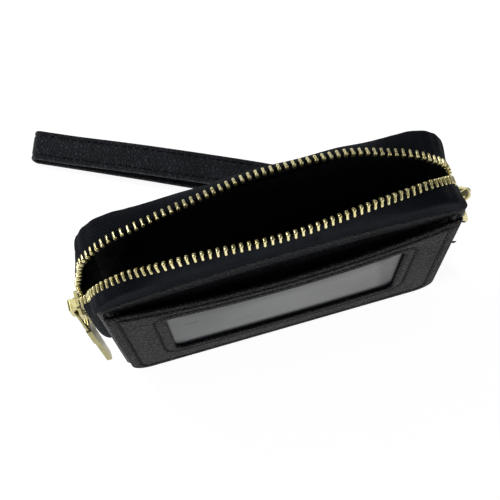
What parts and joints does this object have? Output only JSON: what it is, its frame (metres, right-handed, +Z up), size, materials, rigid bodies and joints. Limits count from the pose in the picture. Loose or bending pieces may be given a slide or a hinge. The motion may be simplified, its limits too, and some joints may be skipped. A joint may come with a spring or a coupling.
{
  "type": "zip-around wristlet wallet",
  "caption": "Open zip-around card wallet standing on its edge, with window pocket, zip slider and pull, ring, snap clasp and wrist strap.",
  "frame": {"origin": "middle of the bottom, on the mid-plane of the zip, at the height of the surface it stands on", "axes": "+X along the wallet towards the ring for the wrist strap, -Y is the side with the window pocket, +Z up"},
  "size_m": [0.1594, 0.1233, 0.0998],
  "materials": {
    "leather_black": "pebbled grain, semi-matt",
    "leather_pocket": "pebbled grain, semi-matt, slightly worn",
    "woven_tape": "fine herringbone weave",
    "lining_fabric": "smooth lining cloth with a faint tone-on-tone pattern",
    "board": "grey-brown fibre board",
    "clear_sheet": "clear soft plastic sheet",
    "thread": "twisted polyester thread",
    "gold_metal": "polished pale gold plating",
    "spring_steel": "bright"
  },
  "bodies": {
    "wallet": {"back_panel": "leather_black", "back_stiffener": "board", "front_panel": "leather_black", "front_stiffener": "board", "gusset": "leather_black", "id_panel": "leather_pocket", "id_panel_stitching": "thread", "id_slot_lining": "lining_fabric", "id_window": "clear_sheet", "lining_back": "lining_fabric", "lining_front": "lining_fabric", "lining_gusset": "lining_fabric", "lining_pocket": "lining_fabric", "ring_tab": "leather_black", "ring_tab_stitching": "thread", "window_stitching": "thread", "zip_band_back": "woven_tape", "zip_band_front": "woven_tape", "zip_bottom_stop": "gold_metal", "zip_tape_back": "woven_tape", "zip_tape_front": "woven_tape", "zip_teeth_back": "gold_metal", "zip_teeth_front": "gold_metal", "zip_top_stops": "gold_metal"},
    "zip_slider": {"slider_body": "gold_metal", "slider_bridge": "gold_metal"},
    "pull_link": {"pull_link": "gold_metal"},
    "pull_tab": {"pull_tab": "gold_metal"},
    "d_ring": {"d_ring": "gold_metal"},
    "clasp": {"clasp_body": "gold_metal", "gate_pin": "gold_metal", "gate_spring": "spring_steel"},
    "clasp_gate": {"clasp_gate": "gold_metal"},
    "swivel_eye": {"swivel_eye": "gold_metal"},
    "strap": {"strap_loop": "leather_black", "strap_keeper": "leather_black", "strap_stitching": "thread"}
  },
  "joints": [
    {"name": "slider_slide", "type": "slide", "parent": "wallet", "child": "zip_slider", "axis": [0, 0, 1], "range_m": [-0.0055, 0]},
    {"name": "link_hinge", "type": "hinge", "parent": "zip_slider", "child": "pull_link", "pos_m": [-0.0705, 0, 0.0546], "axis": [0, 0.9938, -0.1115], "range_deg": [-1.5, 110]},
    {"name": "pull_hinge", "type": "hinge", "parent": "pull_link", "child": "pull_tab", "pos_m": [-0.06975, -0.00134, 0.0427], "axis": [0, 0.9938, -0.1115], "range_deg": [-4, 90]},
    {"name": "ring_hinge", "type": "hinge", "parent": "wallet", "child": "d_ring", "pos_m": [0.0663, 0, 0.056], "axis": [0, -1, 0], "range_deg": [0, 60]},
    {"name": "clasp_hinge", "type": "hinge", "parent": "d_ring", "child": "clasp", "pos_m": [0.06944, 0.00393, 0.04738], "axis": [0.2068, -0.7965, -0.5681], "range_deg": [0, 60]},
    {"name": "gate_hinge", "type": "hinge", "parent": "clasp", "child": "clasp_gate", "pos_m": [0.071, 0.01166, 0.03711], "axis": [-0.2068, 0.7965, 0.5681], "range_deg": [0, 16], "stiffness_Nm_per_rad": 0.02},
    {"name": "swivel_hinge", "type": "hinge", "parent": "clasp", "child": "swivel_eye", "pos_m": [0.07009, 0.005, 0.04611], "axis": [-0.2713, 0.5112, -0.8155], "range_deg": [0, 120]},
    {"name": "strap_hinge", "type": "hinge", "parent": "swivel_eye", "child": "strap", "pos_m": [0.06128, 0.02162, 0.01961], "axis": [0.5779, 0.7641, 0.2868], "range_deg": [0, 50]}
  ]
}
